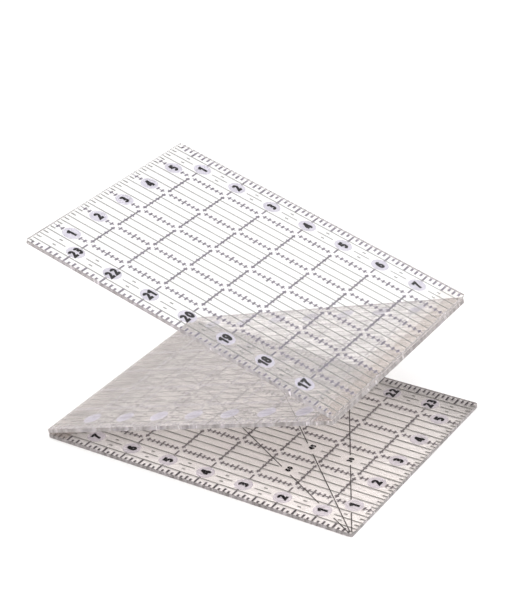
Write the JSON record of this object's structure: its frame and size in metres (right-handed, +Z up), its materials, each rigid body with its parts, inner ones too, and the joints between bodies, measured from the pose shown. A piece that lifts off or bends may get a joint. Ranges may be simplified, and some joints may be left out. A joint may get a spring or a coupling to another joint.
{
  "type": "folding quilting ruler",
  "caption": "Clear acrylic quilting ruler that folds in a Z: long narrow panels joined end to end by thin film hinges.",
  "frame": {"origin": "centre of the bottom panel's underside, the flat face that the ruler stands on", "axes": "+X along the long edges, away from the lower hinge; +Y across the ruler; +Z up, out of the bottom panel"},
  "size_m": [0.2061, 0.1524, 0.1286],
  "materials": {
    "acrylic": "clear, polished",
    "hinge_film": "clear film, slightly hazy",
    "adhesive": "clear transfer adhesive"
  },
  "bodies": {
    "bottom": {"bottom_panel": "acrylic", "lower_hinge_adhesive_bottom": "adhesive", "lower_hinge_leaf_bottom": "hinge_film", "lower_hinge_web": "hinge_film"},
    "middle": {"middle_panel": "acrylic", "lower_hinge_adhesive_middle": "adhesive", "lower_hinge_leaf_middle": "hinge_film", "upper_hinge_adhesive_middle": "adhesive", "upper_hinge_leaf_middle": "hinge_film", "upper_hinge_web": "hinge_film"},
    "top": {"top_panel": "acrylic", "upper_hinge_adhesive_top": "adhesive", "upper_hinge_leaf_top": "hinge_film"}
  },
  "joints": [
    {"name": "lower_fold", "type": "hinge", "parent": "bottom", "child": "middle", "pos_m": [-0.10173, 0, 0.00266], "axis": [0, -1, 0], "range_deg": [-18.5, 161.5], "deforming": ["lower_hinge_web"]},
    {"name": "upper_fold", "type": "hinge", "parent": "middle", "child": "top", "pos_m": [0.09028, 0, 0.07003], "axis": [0, 1, 0], "range_deg": [-34.5, 145.5], "deforming": ["upper_hinge_web"]}
  ]
}
